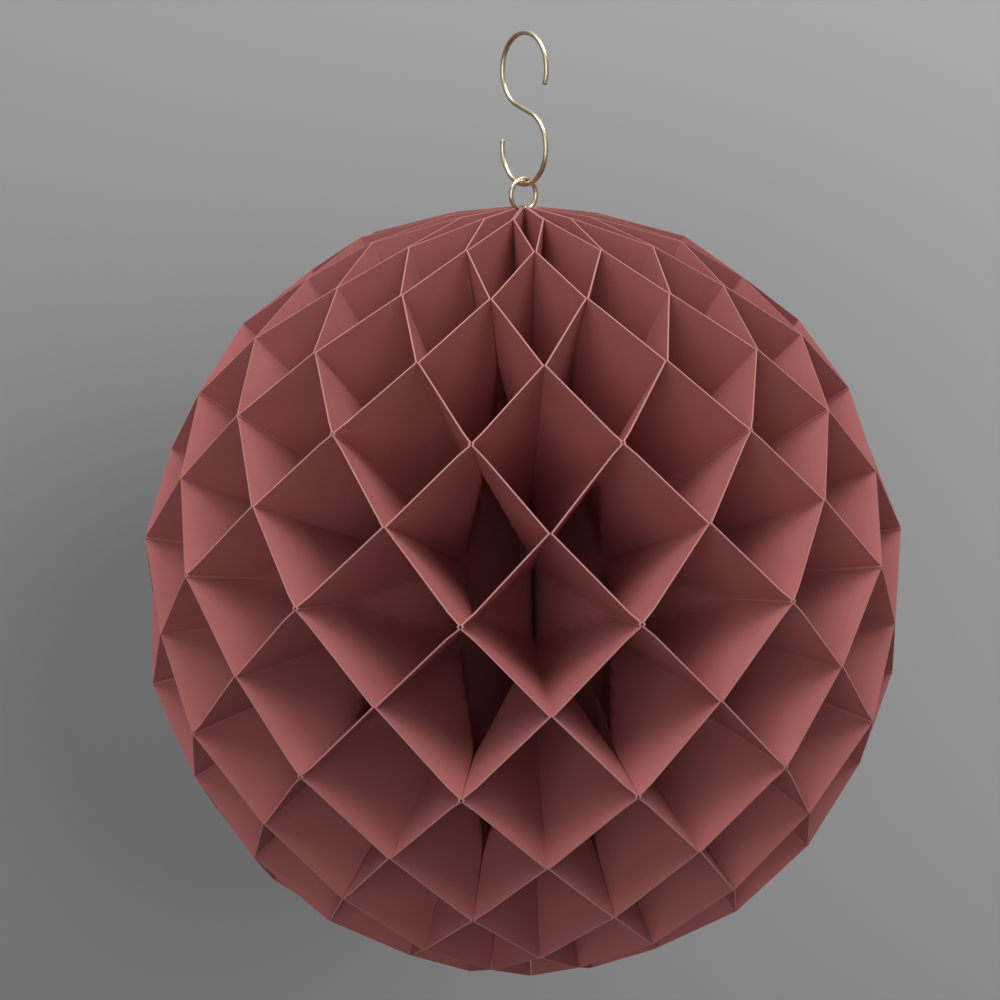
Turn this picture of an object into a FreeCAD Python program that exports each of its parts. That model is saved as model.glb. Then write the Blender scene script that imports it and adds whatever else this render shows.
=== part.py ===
import FreeCAD, Part
import math
import os

# Honeycomb paper ball hung from an S-hook. Millimetres, +Z up, the ball's axis on Z.
# The origin is where the hook hangs: the highest point inside its upper bend.
# The hook lies in the XZ plane, the ring in the YZ plane.

# Ball
BALL_RADIUS = 100.0        # centre of the ball to the glued crests of the odd levels
CREST_COLUMNS = 16         # glued crests round the waist on one level
LEVELS = 16                # facets of one leaf, from the top of the ball to the bottom
WAIST_DIP = 1.9            # even levels: crests stand this far in at the waist
POLE_FLARE = 4.0           # even levels: crests stand this far out near the poles
PAPER = 0.35               # thickness of one sheet
GLUE_LINE = 0.02           # glue between two touching crests
BOND_RADIUS = 46.0         # even crests: nearer than this, both leaves of a pair lie flat together
TAB_RADIUS = 78.0          # odd crests are glued from here out to the rim
CLIP_DOWN = 1.6            # top corner of each leaf, cut off to clear the ring: down the hub
CLIP_OUT = 2.1             # and out along the sheet's edge

# Hub
SPINDLE_GAP = 0.1          # glue between the spindle and the ends of the leaves
SPINDLE_RECESS = 0.7       # the spindle ends this far above the bottom of the ball
EYE_WIRE = 0.6             # wire of the eye pin
EYE_BORE = 1.6             # inner diameter of its eye
EYE_SEAT_GAP = 0.05        # between the eye and the spindle's end
PIN_LENGTH = 14.0          # shank of the eye pin in the spindle
PIN_GAP = 0.02             # round the shank

# Ring and hook
RING_WIRE = 1.3
RING_BORE = 6.6            # inner diameter of the ring
RING_DROP = 1.0            # centre of the ring's lowest wire, below the top of the ball
HOOK_WIRE = 1.3
HOOK_BEND = 9.0            # radius of both bends, to the middle of the wire
HOOK_SPACING = 19.0        # between the centres of the two bends
HOOK_SEAT_GAP = 0.02       # between the hook's lower bend and the ring
UPPER_TIP_DEG = -23.0      # where the wire starts on the upper bend, from +X
LOWER_TIP_DEG = 168.0      # where the wire ends on the lower bend, from +X

LEAF_COUNT = 2 * CREST_COLUMNS
HALF_STEP = math.pi / LEAF_COUNT

# Heights from the ball's centre
PIVOT_Z = BALL_RADIUS - RING_DROP
RING_RADIUS = (RING_BORE + RING_WIRE) / 2
RING_Z = PIVOT_Z + RING_RADIUS
LOWER_BEND_Z = RING_Z + RING_RADIUS - (RING_WIRE + HOOK_WIRE) / 2 - HOOK_SEAT_GAP + HOOK_BEND
UPPER_BEND_Z = LOWER_BEND_Z + HOOK_SPACING
HANGING_Z = UPPER_BEND_Z + HOOK_BEND - HOOK_WIRE / 2
BALL_CENTRE = FreeCAD.Vector(0, 0, -HANGING_Z)

UP = FreeCAD.Vector(0, 0, 1)


def crest_place(level):
    """Distance from the axis and height of a crest, from the ball's centre."""
    polar = math.pi * level / LEVELS
    out = BALL_RADIUS * math.sin(polar)
    if level % 2 == 0:
        out += POLE_FLARE * math.cos(polar) ** 2 - WAIST_DIP * math.sin(polar) ** 2
    return out, BALL_RADIUS * math.cos(polar)


def crease_ends(hub, side):
    """Outer end of each crease in the middle of the sheet, from where the creases meet.

    The leaf stands along +X. Its odd crests lean to side, its even crests the other way.
    """
    ends = [UP * BALL_RADIUS]
    for level in range(1, LEVELS):
        out, height = crest_place(level)
        lean = HALF_STEP * (side if level % 2 else -side)
        reach = out - hub
        ends.append(FreeCAD.Vector(reach * math.cos(lean), reach * math.sin(lean), height))
    ends.append(UP * -BALL_RADIUS)
    return ends


def unit(vector):
    return vector * (1.0 / vector.Length)


def facet_normals(ends):
    return [unit(ends[k].cross(ends[k + 1])) for k in range(LEVELS)]


def mitres(normals):
    """At each crease, the way from the middle of the sheet to its face, for half a sheet of 1."""
    result = [normals[0]]
    for before, after in zip(normals, normals[1:]):
        result.append((before + after) * (1.0 / (1.0 + before.dot(after))))
    result.append(normals[-1])
    return result


def corner_mitre(first, second, third):
    """The same where three facets meet in a point."""
    way = second.cross(third) + third.cross(first) + first.cross(second)
    return way * (1.0 / first.dot(second.cross(third)))


def hub_radius():
    """Where the leaves end beside the axis: there the crests of neighbours just touch."""
    widest = 0.0
    ends = crease_ends(0.0, 1)
    for level, mitre in enumerate(mitres(facet_normals(ends))):
        lean = HALF_STEP if level % 2 else -HALF_STEP
        across = FreeCAD.Vector(-math.sin(lean), math.cos(lean), 0)
        widest = max(widest, abs(mitre.dot(across)) * PAPER / 2)
    return (widest + GLUE_LINE / 2) / math.sin(HALF_STEP)


def solid_from(polygons):
    """Closed solid from flat faces that share their corners."""
    faces = [Part.Face(Part.makePolygon(corners + corners[:1])) for corners in polygons]
    shell = Part.makeShell(faces)
    shell.sewShape()
    solid = Part.makeSolid(shell.Shells[0])
    if solid.Volume < 0:
        solid.reverse()
    return solid


def strip(left, right):
    """Cut edge of the sheet between its two faces, as flat triangles."""
    polygons = []
    for k in range(len(left) - 1):
        polygons.append([left[k], left[k + 1], right[k + 1]])
        polygons.append([left[k], right[k + 1], right[k]])
    return polygons


def fan(point, others):
    """Triangles from one point to each step between the others."""
    return [[point, others[k], others[k + 1]] for k in range(len(others) - 1)]


def paper_leaf(hub, side):
    """One folded sheet, from the spindle to the rim.

    Its creases point at the middle of the ball. Within BOND_RADIUS it is a flat web beside the
    even crests. From there a vertical facet leads to each odd crest, which starts at TAB_RADIUS.
    """
    ends = crease_ends(hub, side)
    meet = FreeCAD.Vector(hub, 0, 0)
    starts = []
    for level, end in enumerate(ends):
        starts.append(unit(end) * (TAB_RADIUS if level % 2 else BOND_RADIUS))
    normals = facet_normals(ends)
    turns = mitres(normals)
    web_normal = unit(ends[0].cross(ends[LEVELS // 2]))
    inner_turns = [web_normal] * (LEVELS + 1)
    for level in range(1, LEVELS, 2):
        above, tab, below = starts[level - 1:level + 2]
        steep = unit((above - tab).cross(below - tab))
        if steep.dot(web_normal) < 0:
            steep = steep * -1.0
        inner_turns[level] = corner_mitre(normals[level - 1], normals[level], steep)
    polygons = []
    rims = []
    backs = []
    for face in (-1, 1):
        half = face * PAPER / 2
        outer = [meet + end + turn * half for end, turn in zip(ends, turns)]
        inner = [meet + start + turn * half for start, turn in zip(starts, inner_turns)]
        corner = outer[0] - UP * CLIP_DOWN
        clip = outer[0] + unit(outer[1] - outer[0]) * CLIP_OUT
        for level in range(1, LEVELS, 2):
            rim = [corner, clip] if level == 1 else [outer[level - 1]]
            polygons += fan(inner[level], [inner[level - 1]] + rim + [outer[level]])
            polygons += fan(inner[level], [outer[level], outer[level + 1], inner[level + 1]])
            polygons.append([inner[level], inner[level + 1], inner[level - 1]])
        polygons.append(inner[::2])
        rims.append([corner, clip] + outer[1:])
        backs.append([corner, inner[0], inner[-1], outer[-1]])
    polygons += strip(*rims) + strip(*backs)
    return solid_from(polygons)


def torus(bore, wire, axis, centre_z):
    centre = FreeCAD.Vector(0, 0, centre_z)
    return Part.makeTorus((bore + wire) / 2, wire / 2, centre, axis)


def eye_pin():
    """Wire eye round the ring, on a shank that is glued into the spindle."""
    eye = torus(EYE_BORE, EYE_WIRE, FreeCAD.Vector(0, 1, 0), PIVOT_Z)
    bottom = PIVOT_Z - (EYE_BORE + EYE_WIRE) / 2
    base = FreeCAD.Vector(0, 0, bottom - PIN_LENGTH)
    shank = Part.makeCylinder(EYE_WIRE / 2, PIN_LENGTH, base, UP)
    return eye.fuse(shank)


def spindle(hub):
    """Rolled paper rod that the leaves are glued round, bored for the eye pin."""
    top = PIVOT_Z - EYE_BORE / 2 - EYE_WIRE - EYE_SEAT_GAP
    bottom = SPINDLE_RECESS - BALL_RADIUS
    base = FreeCAD.Vector(0, 0, bottom)
    rod = Part.makeCylinder(hub - SPINDLE_GAP, top - bottom, base, UP)
    shank_end = PIVOT_Z - (EYE_BORE + EYE_WIRE) / 2 - PIN_LENGTH - PIN_GAP
    mouth = FreeCAD.Vector(0, 0, shank_end)
    bore = Part.makeCylinder(EYE_WIRE / 2 + PIN_GAP, BALL_RADIUS - shank_end, mouth, UP)
    return rod.cut(bore)


def on_bend(centre_z, degrees):
    angle = math.radians(degrees)
    return FreeCAD.Vector(HOOK_BEND * math.cos(angle), 0, centre_z + HOOK_BEND * math.sin(angle))


def bend(centre_z, start, end):
    middle = (start + end) / 2
    points = [on_bend(centre_z, degrees) for degrees in (start, middle, end)]
    return Part.Arc(*points).toShape()


def s_hook():
    """Round wire in two bends, joined by the straight line that touches both."""
    touch = math.degrees(math.asin(min(0.99, 2 * HOOK_BEND / HOOK_SPACING)))
    leave = 180.0 + touch
    finish = LOWER_TIP_DEG - 360.0
    link = Part.LineSegment(on_bend(UPPER_BEND_Z, leave), on_bend(LOWER_BEND_Z, touch)).toShape()
    upper = bend(UPPER_BEND_Z, UPPER_TIP_DEG, leave)
    lower = bend(LOWER_BEND_Z, touch, finish)
    path = Part.Wire([upper, link, lower])
    tip = on_bend(UPPER_BEND_Z, UPPER_TIP_DEG)
    slope = math.radians(UPPER_TIP_DEG + 90.0)
    heading = FreeCAD.Vector(math.cos(slope), 0, math.sin(slope))
    section = Part.Wire([Part.makeCircle(HOOK_WIRE / 2, tip, heading)])
    return path.makePipeShell([section], True, False)


def write(name, shape):
    shape.translate(BALL_CENTRE)
    if not shape.isValid() or shape.Volume <= 0:
        raise ValueError(name + " is not a sound solid")
    shape.exportStep("parts/" + name + ".step")


def main():
    os.makedirs("parts", exist_ok=True)
    hub = hub_radius()
    for number in range(LEAF_COUNT):
        leaf = paper_leaf(hub, 1 if number % 2 else -1)
        turn = math.degrees(HALF_STEP) * (2 * number + 1)
        leaf.rotate(FreeCAD.Vector(0, 0, 0), UP, turn)
        write("leaf_%02d" % (number + 1), leaf)
    write("spindle", spindle(hub))
    write("eye_pin", eye_pin())
    write("ring", torus(RING_BORE, RING_WIRE, FreeCAD.Vector(1, 0, 0), RING_Z))
    write("s_hook", s_hook())


main()
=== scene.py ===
import math
import random

import bpy
from mathutils import Matrix, Vector


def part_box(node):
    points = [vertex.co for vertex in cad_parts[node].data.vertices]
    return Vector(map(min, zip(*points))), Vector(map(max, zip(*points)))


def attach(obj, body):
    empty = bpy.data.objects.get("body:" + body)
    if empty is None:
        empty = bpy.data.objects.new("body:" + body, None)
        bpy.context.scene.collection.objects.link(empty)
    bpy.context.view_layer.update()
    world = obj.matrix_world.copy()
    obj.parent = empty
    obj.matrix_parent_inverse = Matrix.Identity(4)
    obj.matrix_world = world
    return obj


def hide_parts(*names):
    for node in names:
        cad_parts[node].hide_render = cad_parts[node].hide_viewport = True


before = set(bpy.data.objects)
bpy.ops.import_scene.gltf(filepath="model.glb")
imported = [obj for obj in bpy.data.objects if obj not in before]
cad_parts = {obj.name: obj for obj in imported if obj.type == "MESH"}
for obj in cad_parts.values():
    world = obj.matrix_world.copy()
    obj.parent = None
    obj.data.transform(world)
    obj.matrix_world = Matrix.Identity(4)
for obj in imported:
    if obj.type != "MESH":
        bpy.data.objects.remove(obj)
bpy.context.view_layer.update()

MM = 0.001

# Sizes of the ball, as the sheets are cut and folded
BALL_RADIUS = 100.0 * MM
LEVELS = 16
WAIST_DIP = 1.9 * MM
POLE_FLARE = 4.0 * MM
PAPER = 0.35 * MM
BOND_RADIUS = 46.0 * MM
TAB_RADIUS = 78.0 * MM
CLIP_DOWN = 1.6 * MM
CLIP_OUT = 2.1 * MM
SPINDLE_GAP = 0.1 * MM

# Sizes of the metal
RING_WIRE = 1.3 * MM
HOOK_WIRE = 1.3 * MM
HOOK_BEND = 9.0 * MM
HOOK_SPACING = 19.0 * MM
UPPER_TIP = math.radians(-23.0)
LOWER_TIP = math.radians(168.0 - 360.0)

# Places read from the frame
LEAVES = sorted(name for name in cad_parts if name.startswith("leaf_"))
HALF_STEP = math.pi / len(LEAVES)
BALL_CENTRE = Vector((0, 0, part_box("leaf_01")[0].z + BALL_RADIUS))
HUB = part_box("spindle")[1].x + SPINDLE_GAP
UP = Vector((0, 0, 1))

# Camera, fitted to the glued crests in the photograph
VIEW_AZIMUTH = math.radians(52.56)
VIEW_ELEVATION = math.radians(16.55)
VIEW_DISTANCE = 4.5053 * BALL_RADIUS
VIEW_PAN = math.radians(-0.768)
VIEW_TILT = math.radians(2.880)
VIEW_ROLL = math.radians(-0.262)
SENSOR = 36.0
LENS = SENSOR * 1.6798

# Make-up of the finer sheets: rows run from the hub to the rim, and ACROSS is over one facet
HUB_HOLE = 4.0 * MM
FOLD_WORN = 0.3 * MM
FACET_BOW = 0.22 * MM
POLE_BOW_SHARE = 0.4
NEAR_RING = 0.8
EYELET_HIGH = 0.5 * MM
EYELET_DEEP = 0.33 * MM
ROWS = 34
EASED = 3
ACROSS = (0.15, 0.32, 0.5, 0.68, 0.85)
SLACK = 0.001

# Backdrop and light, in metres from the ball's centre as the camera sees it
WALL_BEHIND = 0.34
FLOOR_Z = -1.1
SWEEP_ROUND = 0.5
HALF_WIDTH = 6.0
FLOOR_FRONT = -5.0
WALL_TOP = 5.0
# Backdrop grey with painted light: it grows lighter to the right and upward, and a painted shadow of the
# ball darkens it low on the left
GREY, GREY_PAINTED_LIGHT_TO_RIGHT, GREY_PAINTED_LIGHT_UPWARD, GREY_PAINTED_SHADOW = 0.393, 0.196, 0.226, 0.191
PAINTED_SHADOW_SPOT = (-0.12, WALL_BEHIND, -0.14)
PAINTED_SHADOW_REACH = 0.15
LAMP_SIZE = 1.3
LAMPS = {
    "right": ((0.8, -0.6, 1.9), 26.0),
    "left": ((-0.6, -0.7, 1.9), 22.0),
    "front": ((-0.35, -1.5, 0.15), 7.8),
}
WORLD_LEVEL = 0.28


class Value:
    """A number in a material. Reckoning with it adds Math nodes."""

    def __init__(self, finish, socket):
        self.finish = finish
        self.socket = socket

    def _math(self, operation, *values):
        return self.finish.node("ShaderNodeMath", {"operation": operation}, dict(enumerate(values)))

    def __add__(self, other):
        return self._math("ADD", self, other)

    def __radd__(self, other):
        return self._math("ADD", other, self)

    def __sub__(self, other):
        return self._math("SUBTRACT", self, other)

    def __rsub__(self, other):
        return self._math("SUBTRACT", other, self)

    def __mul__(self, other):
        return self._math("MULTIPLY", self, other)

    def __rmul__(self, other):
        return self._math("MULTIPLY", other, self)

    def __pow__(self, power):
        return self._math("POWER", self, power)


class Finish:
    """One material, whose nodes all come from node()."""

    def __init__(self, name):
        self.material = bpy.data.materials.new(name)
        self.material.use_nodes = True
        self.tree = self.material.node_tree
        self.tree.nodes.clear()

    def node(self, kind, settings=None, sockets=None, out=0):
        made = self.tree.nodes.new(kind)
        for key, value in (settings or {}).items():
            if key == "stops":
                self._stops(made, value)
            else:
                setattr(made, key, value)
        for key, value in (sockets or {}).items():
            if isinstance(value, Value):
                self.tree.links.new(value.socket, made.inputs[key])
            else:
                made.inputs[key].default_value = value
        return Value(self, made.outputs[out]) if len(made.outputs) else made

    @staticmethod
    def _stops(made, stops):
        ramp = made.color_ramp.elements
        while len(ramp) < len(stops):
            ramp.new(0.5)
        for element, (place, level) in zip(ramp, stops):
            element.position = place
            element.color = (level, level, level, 1)

    def place(self):
        return self.node("ShaderNodeTexCoord", out=3)

    def noise(self, scale, detail=3.0, rough=0.5, stretch=None):
        where = self.place()
        if stretch:
            settings = {"operation": "MULTIPLY"}
            where = self.node("ShaderNodeVectorMath", settings, {0: where, 1: stretch})
        sockets = {"Vector": where, "Scale": scale, "Detail": detail, "Roughness": rough}
        return self.node("ShaderNodeTexNoise", None, sockets)

    def ramp(self, value, *stops):
        return self.node("ShaderNodeValToRGB", {"stops": stops}, {"Fac": value})

    def mix(self, share, first, second):
        sockets = {0: share, 6: first, 7: second}
        return self.node("ShaderNodeMix", {"data_type": "RGBA"}, sockets, out=2)

    def attribute(self, name):
        return self.node("ShaderNodeAttribute", {"attribute_name": name}, out=2)

    def along(self, where, way):
        """How far a place lies along a way from the origin."""
        settings = {"operation": "DOT_PRODUCT"}
        return self.node("ShaderNodeVectorMath", settings, {0: where, 1: way}, out=1)

    def bump(self, height, depth, under=None):
        sockets = {"Height": height, "Distance": depth, "Strength": 1.0}
        if under:
            sockets["Normal"] = under
        return self.node("ShaderNodeBump", None, sockets)

    def done(self, shader):
        self.node("ShaderNodeOutputMaterial", None, {"Surface": shader})
        return self.material


def rgb(red, green, blue):
    return (red, green, blue, 1.0)


def paper_face():
    """Dusty rose card: cloudy colour, felted fibres, paler where a fold has worn."""
    f = Finish("rose_paper")
    clouds = f.ramp(f.noise(70, 4, 0.6), (0.3, 0.0), (0.7, 1.0))
    fibres = f.noise(2600, 5, 0.65, (1, 1, 0.35))
    flecks = f.ramp(f.noise(900, 2, 0.5), (0.55, 0.0), (0.75, 1.0))
    colour = f.mix(clouds, rgb(0.375, 0.118, 0.114), rgb(0.405, 0.134, 0.129))
    colour = f.mix(flecks * 0.10, colour, rgb(0.47, 0.18, 0.17))
    colour = f.mix(f.attribute("fold_wear") * 0.35, colour, rgb(0.56, 0.24, 0.23))
    waves = f.bump(f.noise(45, 2, 0.5), 0.25 * MM)
    felt = f.bump(fibres, 0.02 * MM, waves)
    sockets = {
        "Base Color": colour,
        "Roughness": 0.80 + 0.12 * fibres,
        "Specular IOR Level": 0.25,
        "Normal": felt,
    }
    return f.done(f.node("ShaderNodeBsdfPrincipled", None, sockets))


def paper_edge():
    """The cut edge of the card, paler and rougher than its face. The paleness is partly the card's
    lighter core and partly a painted highlight where the edges catch the light.
    """
    f = Finish("rose_paper_cut")
    ragged = f.noise(5200, 3, 0.6)
    # Paler than the face: partly the card's lighter core, partly a painted highlight on the edges
    colour = f.mix(ragged, rgb(0.40, 0.175, 0.17), rgb(0.49, 0.235, 0.225))
    sockets = {
        "Base Color": colour,
        "Roughness": 0.92,
        "Specular IOR Level": 0.15,
        "Normal": f.bump(ragged, 0.03 * MM),
    }
    return f.done(f.node("ShaderNodeBsdfPrincipled", None, sockets))


def rolled_paper():
    """The core: turns of the same card, seen as fine rings on its ends."""
    f = Finish("rolled_paper")
    flat = f.node("ShaderNodeVectorMath", {"operation": "MULTIPLY"}, {0: f.place(), 1: (1, 1, 0)})
    far = f.node("ShaderNodeVectorMath", {"operation": "LENGTH"}, {0: flat}, out=1)
    turn = f.node("ShaderNodeMath", {"operation": "SINE"}, {0: far * (2 * math.pi / PAPER)})
    fibres = f.noise(2600, 4, 0.6)
    colour = f.mix(0.5 + 0.5 * turn, rgb(0.26, 0.08, 0.078), rgb(0.40, 0.14, 0.135))
    relief = f.bump(turn * 0.6 + fibres * 0.4, 0.05 * MM)
    sockets = {
        "Base Color": colour,
        "Roughness": 0.85,
        "Specular IOR Level": 0.2,
        "Normal": relief,
    }
    return f.done(f.node("ShaderNodeBsdfPrincipled", None, sockets))


def drawn_brass():
    """Pale brass wire, softly polished, with faint draw marks and tarnish."""
    f = Finish("drawn_brass")
    tarnish = f.ramp(f.noise(420, 4, 0.6), (0.35, 0.0), (0.75, 1.0))
    marks = f.noise(9000, 2, 0.5)
    colour = f.mix(tarnish * 0.5, rgb(0.80, 0.71, 0.48), rgb(0.66, 0.55, 0.33))
    sockets = {
        "Base Color": colour,
        "Metallic": 1.0,
        "Roughness": 0.22 + 0.14 * tarnish + 0.06 * marks,
        "Normal": f.bump(marks, 0.004 * MM),
    }
    return f.done(f.node("ShaderNodeBsdfPrincipled", None, sockets))


def crest_place(level):
    polar = math.pi * level / LEVELS
    out = BALL_RADIUS * math.sin(polar)
    if level % 2 == 0:
        out += POLE_FLARE * math.cos(polar) ** 2 - WAIST_DIP * math.sin(polar) ** 2
    return out, BALL_RADIUS * math.cos(polar)


def crease_ends(side):
    """Outer end of each crease in the middle of the sheet, from where the creases meet."""
    ends = [UP * BALL_RADIUS]
    for level in range(1, LEVELS):
        out, height = crest_place(level)
        lean = HALF_STEP * (side if level % 2 else -side)
        reach = out - HUB
        ends.append(Vector((reach * math.cos(lean), reach * math.sin(lean), height)))
    ends.append(UP * -BALL_RADIUS)
    return ends


def facet_normals(ends):
    return [ends[k].cross(ends[k + 1]).normalized() for k in range(LEVELS)]


def eased_line(corners):
    """Evenly spaced points along a line, with its corners eased."""
    lengths = [(b - a).length for a, b in zip(corners, corners[1:])]
    step = sum(lengths) / (ROWS - 1)
    points = [corners[0]]
    part, gone = 0, 0.0
    for row in range(1, ROWS - 1):
        while part < len(lengths) - 1 and gone + lengths[part] < row * step:
            gone += lengths[part]
            part += 1
        share = (row * step - gone) / max(lengths[part], 1e-9)
        points.append(corners[part].lerp(corners[part + 1], share))
    points.append(corners[-1])
    for _ in range(EASED):
        inner = [(a + b * 2 + c) / 4 for a, b, c in zip(points, points[1:], points[2:])]
        points = [points[0], *inner, points[-1]]
    return points


def odd_plane(side):
    """Square to the plane of a leaf's odd crests, and away from the leaf."""
    lean = HALF_STEP * side
    return Vector((-math.sin(lean), math.cos(lean), 0)) * side


def eyelet_side(crest, beside, side, waist):
    """The rim above or below an odd crest, where it touches the rim of the next leaf.

    Between two such places both rims stand back, which leaves a tiny diamond eyelet, largest
    at the waist.
    """
    away = odd_plane(side)
    along = beside - crest
    along -= away * along.dot(away)
    return crest + along.normalized() * (EYELET_HIGH * waist)


def leaf_columns(side, bows, clip_down):
    """Lines of points in the middle of a sheet, from hub to rim, in order down the leaf.

    Each column is (points, wear), where wear is 1 on a fold. The sheet is a flat web near the hub,
    then stands across to its odd crests, and ends in one facet a level. Both bends are soft.
    """
    ends = crease_ends(side)
    normals = facet_normals(ends)
    starts = [end.normalized() * BOND_RADIUS for end in ends]
    for odd in range(1, LEVELS, 2):
        starts[odd] = ends[odd].normalized() * TAB_RADIUS
    meet = Vector((HUB, 0, 0))
    corner = ends[0] - UP * clip_down
    columns = []
    for k in range(LEVELS):
        even, odd = (k, k + 1) if k % 2 == 0 else (k + 1, k)
        middle = (starts[even] + starts[2 * odd - even]) / 2
        chord = (ends[k + 1] - ends[k]).length
        near = FOLD_WORN / chord
        waist = math.sin(math.pi * odd / LEVELS) ** 2
        clip = CLIP_OUT / chord
        shares = [0, near, *ACROSS, 1 - near]
        if k == 0:
            shares.insert(2, clip)
        if k == LEVELS - 1:
            shares.append(1)
        for share in shares:
            away = share if k == even else 1 - share
            spine = starts[even].lerp(middle, away)
            ridge = starts[even].lerp(starts[odd], away)
            rim = ends[k].lerp(ends[k + 1], share)
            if k == 0 and share < clip:
                rim = corner.lerp(ends[0].lerp(ends[1], clip), share / clip)
            if odd == k and share == near or odd == k + 1 and share == 1 - near:
                rim = eyelet_side(ends[odd], ends[even], side, waist)
            if odd == k and share == 0 or odd == k + 1 and share == 1:
                rim = ends[odd] - odd_plane(side) * (EYELET_DEEP * waist)
            points = []
            line = eased_line([spine.normalized() * HUB_HOLE, spine, ridge, rim])
            for row, point in enumerate(line):
                v = row / (ROWS - 1)
                swell = bows[k] * math.sin(math.pi * share) * math.sin(math.pi * v) * v * v
                points.append(meet + point + normals[k] * swell)
            columns.append((points, 1.0 if share in (0, 1) else 0.0))
    return columns


def face_shifts(lines):
    """At each point of a sheet, the way from its middle to its face, for half a sheet of 1.

    That point lies at 1 from every facet that meets there, as nearly as it can.
    """
    count = len(lines)
    around = [[[] for _ in range(ROWS)] for _ in range(count)]
    for c in range(count - 1):
        for r in range(ROWS - 1):
            first, second = lines[c][r + 1] - lines[c + 1][r], lines[c + 1][r + 1] - lines[c][r]
            normal = second.cross(first).normalized()
            for place in ((c, r), (c + 1, r), (c + 1, r + 1), (c, r + 1)):
                around[place[0]][place[1]].append(normal)
    shifts = []
    for c in range(count):
        shifts.append([])
        for normals in around[c]:
            grid = Matrix.Identity(3) * SLACK
            for n in normals:
                grid += Matrix((n * n.x, n * n.y, n * n.z))
            shifts[c].append(grid.inverted() @ sum(normals, Vector()))
    return shifts


def facet_bows(number, side):
    """How far each facet bows, with the pole facets bowing away from their neighbours."""
    draw = random.Random(number)
    bows = [draw.uniform(-FACET_BOW, FACET_BOW) for _ in range(LEVELS)]
    for k in (0, LEVELS - 1):
        bows[k] = -side * abs(bows[k]) * POLE_BOW_SHARE
    return bows


def folded_leaf(number, name, finishes):
    """One folded sheet with gently bowed facets, in place of its CAD node."""
    side = 1 if number % 2 else -1
    bows = facet_bows(number, side)
    turn = Matrix.Rotation(HALF_STEP * (2 * number + 1), 3, "Z")
    by_ring = abs((turn @ Vector((1, 0, 0))).y) > NEAR_RING
    columns = leaf_columns(side, bows, CLIP_DOWN if by_ring else 0.0)
    count = len(columns)
    shifts = face_shifts([line for line, _ in columns])
    points = []
    wear = []
    for face in (1, -1):
        for (line, worn), ways in zip(columns, shifts):
            for row, (point, way) in enumerate(zip(line, ways)):
                points.append(turn @ (point + way * (face * PAPER / 2)) + BALL_CENTRE)
                wear.append(worn * max(0.0, 2 * row / (ROWS - 1) - 1))

    def at(face, column, row):
        return (face * count + column) * ROWS + row

    faces = []
    cut = []
    last = ROWS - 1
    for c in range(count - 1):
        for r in range(last):
            faces.append((at(0, c, r), at(0, c + 1, r), at(0, c + 1, r + 1), at(0, c, r + 1)))
            faces.append((at(1, c, r), at(1, c, r + 1), at(1, c + 1, r + 1), at(1, c + 1, r)))
        cut.append((at(0, c, last), at(0, c + 1, last), at(1, c + 1, last), at(1, c, last)))
        cut.append((at(1, c, 0), at(1, c + 1, 0), at(0, c + 1, 0), at(0, c, 0)))
    for r in range(last):
        cut.append((at(0, 0, r), at(0, 0, r + 1), at(1, 0, r + 1), at(1, 0, r)))
        end = count - 1
        cut.append((at(1, end, r), at(1, end, r + 1), at(0, end, r + 1), at(0, end, r)))
    mesh = bpy.data.meshes.new(name + "_sheet")
    mesh.from_pydata([tuple(point) for point in points], [], faces + cut)
    mesh.materials.append(finishes[0])
    mesh.materials.append(finishes[1])
    for index, polygon in enumerate(mesh.polygons):
        polygon.material_index = 1 if index >= len(faces) else 0
        polygon.use_smooth = True
    mesh.set_sharp_from_angle(angle=math.radians(14))
    layer = mesh.attributes.new("fold_wear", "FLOAT", "POINT")
    layer.data.foreach_set("value", wear)
    leaf = bpy.data.objects.new(name + "_sheet", mesh)
    bpy.context.scene.collection.objects.link(leaf)
    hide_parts(name)
    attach(leaf, "ball")
    return leaf


def tube(name, line, radius, closed, finish, sides=20):
    """Round wire along a flat line of points, its cut ends slightly rounded."""
    count = len(line)
    points = []
    rings = []
    for k, here in enumerate(line):
        before = line[k - 1] if closed or k else here
        after = line[(k + 1) % count] if closed or k < count - 1 else here
        heading = (after - before).normalized()
        across = plane_normal(line)
        rise = heading.cross(across)
        ring = []
        for s in range(sides):
            angle = 2 * math.pi * s / sides
            ring.append(len(points))
            points.append(here + (across * math.cos(angle) + rise * math.sin(angle)) * radius(k))
        rings.append(ring)
    faces = []
    spans = count if closed else count - 1
    for k in range(spans):
        first, second = rings[k], rings[(k + 1) % count]
        for s in range(sides):
            t = (s + 1) % sides
            faces.append((first[s], first[t], second[t], second[s]))
    if not closed:
        faces.append(tuple(reversed(rings[0])))
        faces.append(tuple(rings[-1]))
    mesh = bpy.data.meshes.new(name)
    mesh.from_pydata([tuple(point) for point in points], [], faces)
    mesh.polygons.foreach_set("use_smooth", [True] * len(mesh.polygons))
    mesh.set_sharp_from_angle(angle=math.radians(50))
    mesh.materials.append(finish)
    piece = bpy.data.objects.new(name, mesh)
    bpy.context.scene.collection.objects.link(piece)
    return piece


def plane_normal(line):
    third = len(line) // 3
    first = line[third] - line[0]
    second = line[2 * third] - line[0]
    return first.cross(second).normalized()


def arc(centre, radius, start, end, steps):
    points = []
    for k in range(steps + 1):
        angle = start + (end - start) * k / steps
        points.append(centre + Vector((math.cos(angle), 0, math.sin(angle))) * radius)
    return points


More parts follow.
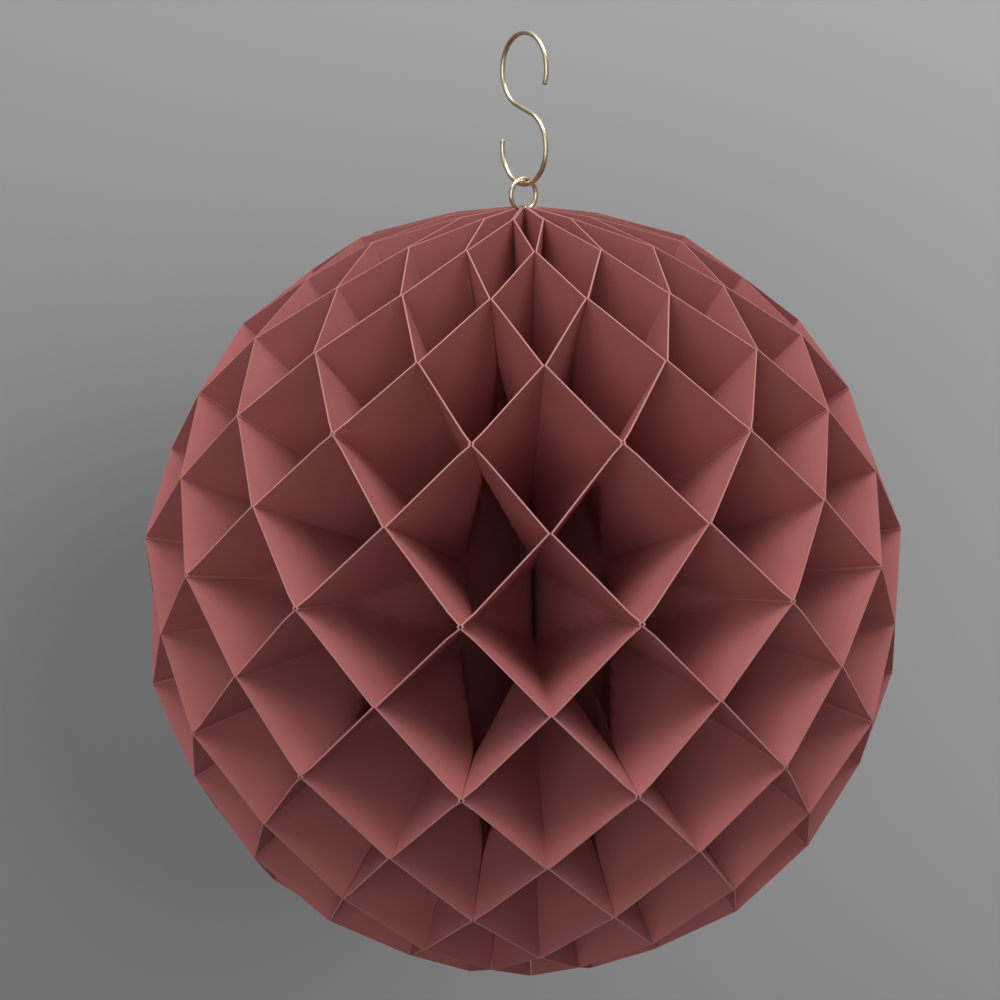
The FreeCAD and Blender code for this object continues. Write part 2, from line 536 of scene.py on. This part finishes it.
def s_hook(finish):
    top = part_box("s_hook")[1].z
    upper = Vector((0, 0, top - HOOK_WIRE / 2 - HOOK_BEND))
    lower = upper - UP * HOOK_SPACING
    touch = math.asin(2 * HOOK_BEND / HOOK_SPACING)
    line = arc(upper, HOOK_BEND, UPPER_TIP, math.pi + touch, 90)
    line += arc(lower, HOOK_BEND, touch, LOWER_TIP, 90)
    ease = 0.12 * MM
    full = HOOK_WIRE / 2
    first = (line[1] - line[0]).normalized()
    final = (line[-1] - line[-2]).normalized()
    line = [line[0], line[0] + first * ease, *line[1:-1], line[-1] - final * ease, line[-1]]

    def radius(k):
        return full - ease if k in (0, len(line) - 1) else full

    piece = tube("s_hook_wire", line, radius, False, finish, 28)
    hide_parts("s_hook")
    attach(piece, "hanger")


def jump_ring(finish):
    low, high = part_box("ring")
    bend = (high.z - low.z - RING_WIRE) / 2
    centre = Vector((0, 0, (low.z + high.z) / 2))
    steps = 96
    line = []
    for k in range(steps):
        angle = 2 * math.pi * k / steps
        line.append(centre + Vector((0, math.cos(angle), math.sin(angle))) * bend)
    piece = tube("ring_wire", line, lambda k: RING_WIRE / 2, True, finish, 28)
    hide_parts("ring")
    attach(piece, "hanger")


def aim_camera():
    """Camera in the photograph's place: it looks at the middle of the ball, then turns a little."""
    e = VIEW_ELEVATION
    right = Vector((1, 0, 0))
    ahead = Vector((0, math.cos(e), -math.sin(e)))
    above = Vector((0, math.sin(e), math.cos(e)))
    place = -ahead * VIEW_DISTANCE
    c, s = math.cos(VIEW_PAN), math.sin(VIEW_PAN)
    right, ahead = right * c - ahead * s, right * s + ahead * c
    c, s = math.cos(VIEW_TILT), math.sin(VIEW_TILT)
    above, ahead = above * c - ahead * s, above * s + ahead * c
    c, s = math.cos(VIEW_ROLL), math.sin(VIEW_ROLL)
    right, above = right * c - above * s, right * s + above * c
    swing = Matrix.Rotation(VIEW_AZIMUTH, 3, "Z")
    axes = Matrix([swing @ right, swing @ above, swing @ -ahead]).transposed()
    data = bpy.data.cameras.new("camera")
    data.sensor_width = SENSOR
    data.lens = LENS
    data.clip_start = 0.01
    data.clip_end = 20
    camera = bpy.data.objects.new("camera", data)
    bpy.context.scene.collection.objects.link(camera)
    camera.matrix_world = Matrix.Translation(swing @ place + BALL_CENTRE) @ axes.to_4x4()
    bpy.context.scene.camera = camera
    return swing


def lamp(name, kind, energy, size, place, target):
    data = bpy.data.lights.new(name, kind)
    data.energy = energy
    data.size = size
    light = bpy.data.objects.new(name, data)
    bpy.context.scene.collection.objects.link(light)
    light.location = place
    light.rotation_mode = "QUATERNION"
    light.rotation_quaternion = (target - place).to_track_quat("-Z", "Y")
    return light


def plain_stage(swing):
    """A pale wall behind and a pale floor below, in one sweep, with painted light: lighter to the right
    and upward, and a painted shadow of the ball low on the left.
    """
    f = Finish("pale_stage")
    here = f.place()
    # Painted shadow of the ball on the backdrop, centred low on the left behind it
    painted_shadow_centre = swing @ Vector(PAINTED_SHADOW_SPOT) + BALL_CENTRE
    # Painted light: the backdrop grows lighter to the right and upward
    painted_light_to_right = f.along(here, swing @ Vector((1, 0, 0)))
    painted_light_upward = f.along(here, UP) - BALL_CENTRE.z
    far = f.node("ShaderNodeVectorMath", {"operation": "DISTANCE"}, {0: here, 1: painted_shadow_centre}, out=1)
    painted_shadow = f.node("ShaderNodeMath", {"operation": "EXPONENT"}, {0: -1.0 * (far * (1 / PAINTED_SHADOW_REACH)) ** 2})
    grey = GREY + GREY_PAINTED_LIGHT_TO_RIGHT * painted_light_to_right + GREY_PAINTED_LIGHT_UPWARD * painted_light_upward - GREY_PAINTED_SHADOW * painted_shadow
    colour = f.node("ShaderNodeClamp", None, {"Value": grey, "Min": 0.2, "Max": 0.5})
    sockets = {"Base Color": colour, "Roughness": 0.95, "Specular IOR Level": 0.1}
    finish = f.done(f.node("ShaderNodeBsdfPrincipled", None, sockets))
    profile = [(FLOOR_FRONT, FLOOR_Z), (WALL_BEHIND - SWEEP_ROUND, FLOOR_Z)]
    for k in range(1, 13):
        angle = math.pi / 2 * k / 12
        y = WALL_BEHIND - SWEEP_ROUND + SWEEP_ROUND * math.sin(angle)
        profile.append((y, FLOOR_Z + SWEEP_ROUND * (1 - math.cos(angle))))
    profile.append((WALL_BEHIND, WALL_TOP))
    points = []
    for x in (-HALF_WIDTH, HALF_WIDTH):
        points += [tuple(swing @ Vector((x, y, 0)) + UP * z) for y, z in profile]
    count = len(profile)
    faces = [(k, k + 1, count + k + 1, count + k) for k in range(count - 1)]
    mesh = bpy.data.meshes.new("stage_sweep")
    mesh.from_pydata(points, [], faces)
    mesh.polygons.foreach_set("use_smooth", [True] * len(faces))
    mesh.materials.append(finish)
    sweep = bpy.data.objects.new("stage_sweep", mesh)
    bpy.context.scene.collection.objects.link(sweep)


def lights(swing):
    for name, (place, energy) in LAMPS.items():
        lamp(name, "AREA", energy, LAMP_SIZE, swing @ Vector(place) + BALL_CENTRE, BALL_CENTRE)
    world = bpy.data.worlds.new("studio")
    bpy.context.scene.world = world
    world.use_nodes = True
    world.node_tree.nodes["Background"].inputs[0].default_value = rgb(1, 1, 1)
    world.node_tree.nodes["Background"].inputs[1].default_value = WORLD_LEVEL


def main():
    swing = aim_camera()
    finishes = (paper_face(), paper_edge())
    for number, name in enumerate(LEAVES):
        folded_leaf(number, name, finishes)
    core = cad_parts["spindle"]
    core.data.materials.clear()
    core.data.materials.append(rolled_paper())
    brass = drawn_brass()
    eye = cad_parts["eye_pin"]
    eye.data.materials.clear()
    eye.data.materials.append(brass)
    s_hook(brass)
    jump_ring(brass)
    plain_stage(swing)
    lights(swing)
    bpy.context.scene.view_settings.view_transform = "Standard"


main()
